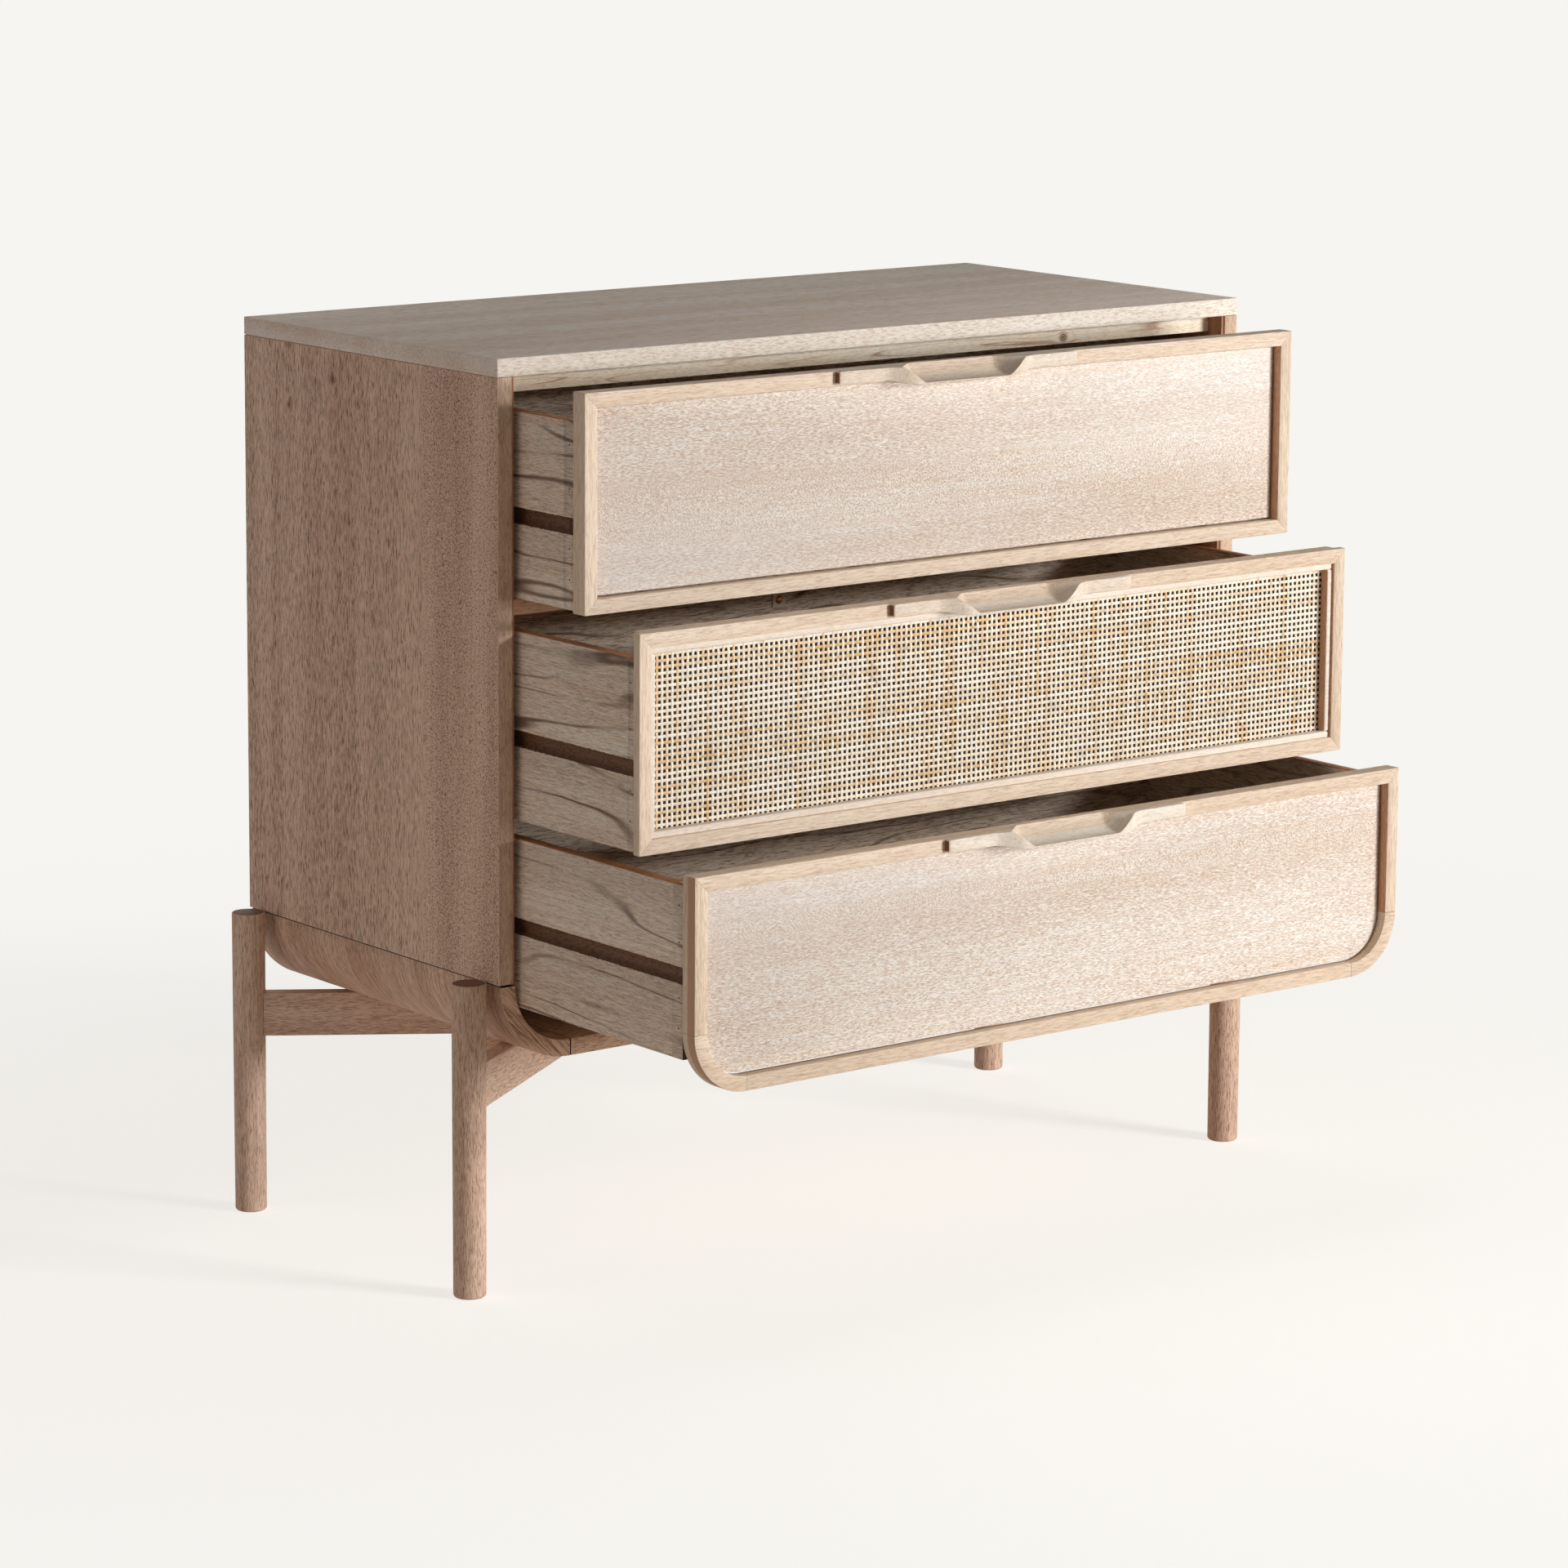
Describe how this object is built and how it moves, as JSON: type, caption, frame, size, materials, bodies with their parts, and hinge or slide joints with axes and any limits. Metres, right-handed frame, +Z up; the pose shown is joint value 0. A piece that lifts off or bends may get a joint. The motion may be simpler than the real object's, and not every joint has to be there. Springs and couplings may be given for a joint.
{
  "type": "chest of drawers",
  "caption": "Chest of drawers with curved lower corners on a base of round legs, with framed fronts, a cane middle front and scooped wooden handles.",
  "frame": {"origin": "on the floor, under the centre of the box around the chest with its drawers as drawn out in the rest pose", "axes": "+X to the right seen from the front, -Y towards the drawer fronts, +Z up"},
  "size_m": [0.972, 0.705, 0.87],
  "materials": {
    "top_wood": "matt lacquer",
    "side_wood": "matt lacquer",
    "lining_wood": "matt lacquer",
    "corner_wood": "matt lacquer",
    "back_board": "matt",
    "rail_wood": "matt lacquer",
    "runner_wood": "bare",
    "leg_wood": "matt lacquer",
    "arm_wood": "matt lacquer",
    "panel_wood": "matt lacquer, open pores",
    "handle_wood": "matt lacquer",
    "cane": "natural, semi-gloss",
    "bead_wood": "matt lacquer",
    "box_bottom": "matt",
    "pin_steel": "dull",
    "box_wood": "matt",
    "stop_steel": "zinc plated",
    "screw_brass": "polished",
    "frame_wood": "matt lacquer"
  },
  "bodies": {
    "carcass": {"top_panel": "top_wood", "side_panel_left": "side_wood", "side_panel_right": "side_wood", "side_linings": "lining_wood", "curved_corner_left": "corner_wood", "curved_corner_right": "corner_wood", "bottom_panel": "corner_wood", "back_panel": "back_board", "front_rail": "rail_wood", "cross_rail": "rail_wood", "top_runners": "runner_wood", "middle_runners": "runner_wood", "bottom_runners": "runner_wood", "leg_front_left": "leg_wood", "leg_front_right": "leg_wood", "leg_rear_left": "leg_wood", "leg_rear_right": "leg_wood", "arm_front_left": "arm_wood", "arm_front_right": "arm_wood", "arm_rear_left": "arm_wood", "arm_rear_right": "arm_wood", "centre_rail": "arm_wood"},
    "top_drawer": {"top_front_upper_rail": "frame_wood", "top_front_lower_rail": "frame_wood", "top_front_stiles": "frame_wood", "top_front_panel": "panel_wood", "top_handle": "handle_wood", "top_box_left": "box_wood", "top_box_right": "box_wood", "top_box_front": "box_wood", "top_box_back": "box_wood", "top_box_bottom": "box_bottom", "top_box_pins": "pin_steel"},
    "middle_drawer": {"middle_front_upper_rail": "frame_wood", "middle_front_lower_rail": "frame_wood", "middle_front_stiles": "frame_wood", "middle_front_board": "frame_wood", "cane_webbing": "cane", "cane_beads": "bead_wood", "middle_handle": "handle_wood", "middle_box_left": "box_wood", "middle_box_right": "box_wood", "middle_box_back": "box_wood", "middle_box_bottom": "box_bottom", "middle_box_pins": "pin_steel", "stop_plate": "stop_steel", "stop_screw": "screw_brass"},
    "bottom_drawer": {"bottom_front_upper_rail": "frame_wood", "bottom_front_lower_rail": "frame_wood", "bottom_front_stiles": "frame_wood", "bottom_front_corners": "frame_wood", "bottom_front_panel": "panel_wood", "bottom_handle": "handle_wood", "bottom_box_left": "box_wood", "bottom_box_right": "box_wood", "bottom_box_front": "box_wood", "bottom_box_back": "box_wood", "bottom_box_bottom": "box_bottom", "bottom_box_pins": "pin_steel"}
  },
  "joints": [
    {"name": "top_drawer_slide", "type": "slide", "parent": "carcass", "child": "top_drawer", "axis": [0, -1, 0], "range_m": [-0.103, 0.171]},
    {"name": "middle_drawer_slide", "type": "slide", "parent": "carcass", "child": "middle_drawer", "axis": [0, -1, 0], "range_m": [-0.185, 0.089]},
    {"name": "bottom_drawer_slide", "type": "slide", "parent": "carcass", "child": "bottom_drawer", "axis": [0, -1, 0], "range_m": [-0.267, 0.007]}
  ]
}
